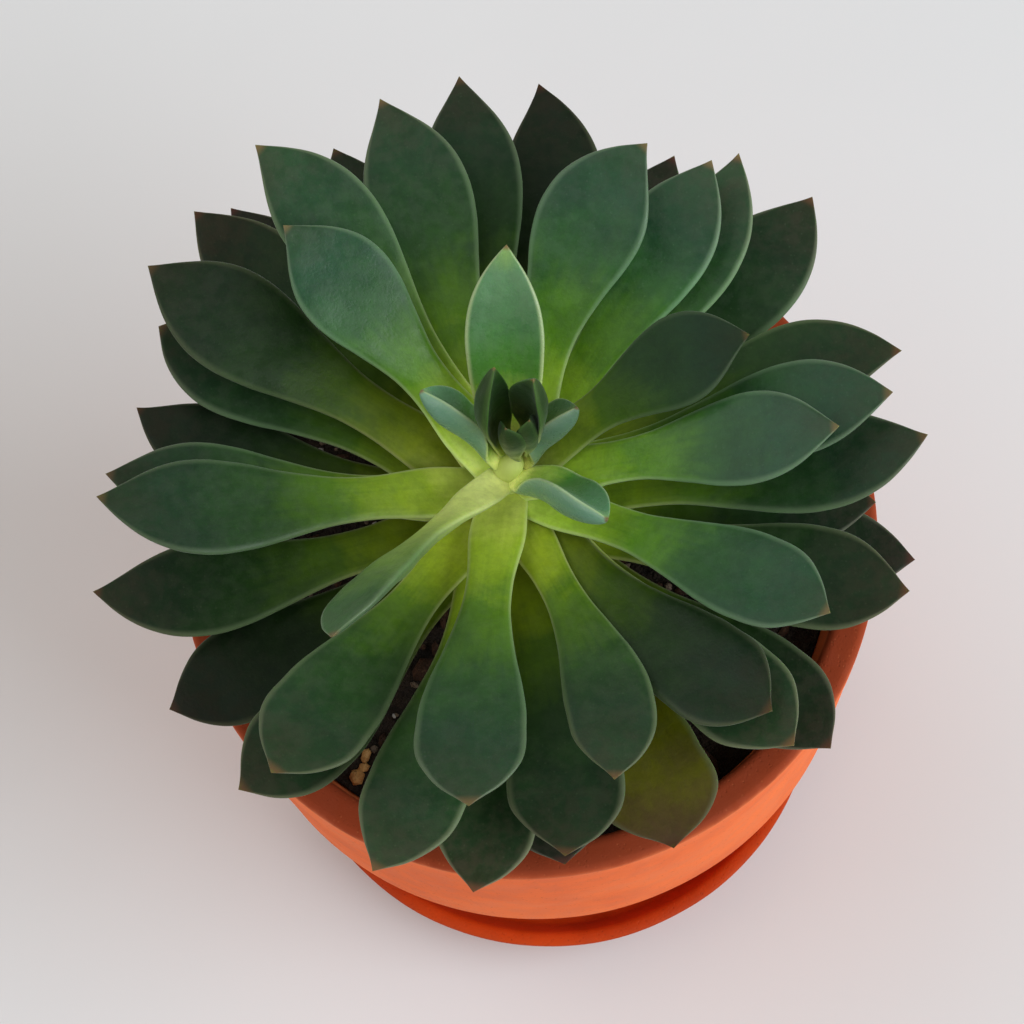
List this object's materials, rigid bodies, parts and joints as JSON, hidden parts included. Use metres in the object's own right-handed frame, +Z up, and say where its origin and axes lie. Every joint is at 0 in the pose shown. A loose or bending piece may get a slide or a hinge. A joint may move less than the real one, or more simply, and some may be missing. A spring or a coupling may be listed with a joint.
{
  "type": "potted succulent",
  "caption": "Rosette succulent with fleshy pointed leaves, growing in soil in a round deep-collared clay pot that stands in its own clay saucer.",
  "frame": {"origin": "centre of the saucer's underside, on the table", "axes": "+Z up along the pot's axis; -Y towards the side the plant is mostly seen from; +X to that viewer's right"},
  "size_m": [0.153, 0.1525, 0.1774],
  "materials": {
    "pot_clay": "matte fired clay",
    "saucer_clay": "matte fired clay, damp",
    "soil": "crumbly potting soil",
    "stem": "satin living stem",
    "leaf_inner": "waxy satin leaf",
    "leaf_middle": "waxy satin leaf",
    "leaf_outer": "waxy satin leaf"
  },
  "bodies": {
    "root": {"leaf_bud_east": "leaf_inner", "leaf_bud_north": "leaf_inner", "leaf_bud_south": "leaf_inner", "leaf_bud_west": "leaf_inner", "leaf_east_dark": "leaf_outer", "leaf_east_hidden": "leaf_outer", "leaf_east_lower": "leaf_middle", "leaf_east_middle": "leaf_middle", "leaf_east_upper": "leaf_inner", "leaf_heart_east": "leaf_inner", "leaf_heart_south": "leaf_inner", "leaf_heart_west": "leaf_inner", "leaf_inner_east": "leaf_inner", "leaf_inner_north": "leaf_inner", "leaf_inner_northwest": "leaf_inner", "leaf_inner_southwest": "leaf_inner", "leaf_north_dark": "leaf_outer", "leaf_north_hidden": "leaf_outer", "leaf_north_middle": "leaf_outer", "leaf_north_upper": "leaf_middle", "leaf_northeast_dark": "leaf_outer", "leaf_northeast_hidden": "leaf_outer", "leaf_northeast_lower": "leaf_middle", "leaf_northeast_middle": "leaf_middle", "leaf_northeast_upper": "leaf_inner", "leaf_northwest_dark": "leaf_outer", "leaf_northwest_hidden": "leaf_outer", "leaf_northwest_lower": "leaf_outer", "leaf_northwest_middle": "leaf_middle", "leaf_northwest_upper": "leaf_middle", "leaf_south_dark": "leaf_outer", "leaf_south_hidden": "leaf_outer", "leaf_south_middle": "leaf_outer", "leaf_south_narrow": "leaf_middle", "leaf_south_pale": "leaf_outer", "leaf_south_upper": "leaf_inner", "leaf_southeast_broad": "leaf_outer", "leaf_southeast_dark": "leaf_outer", "leaf_southeast_hidden": "leaf_outer", "leaf_southeast_lower": "leaf_middle", "leaf_southeast_middle": "leaf_middle", "leaf_southeast_upper": "leaf_middle", "leaf_southwest_broad": "leaf_outer", "leaf_southwest_dark": "leaf_outer", "leaf_southwest_middle": "leaf_middle", "leaf_southwest_upper": "leaf_middle", "leaf_west_dark": "leaf_outer", "leaf_west_lower": "leaf_outer", "leaf_west_middle": "leaf_middle", "leaf_west_upper": "leaf_middle", "pot": "pot_clay", "saucer": "saucer_clay", "soil": "soil", "stem": "stem"}
  },
  "joints": []
}
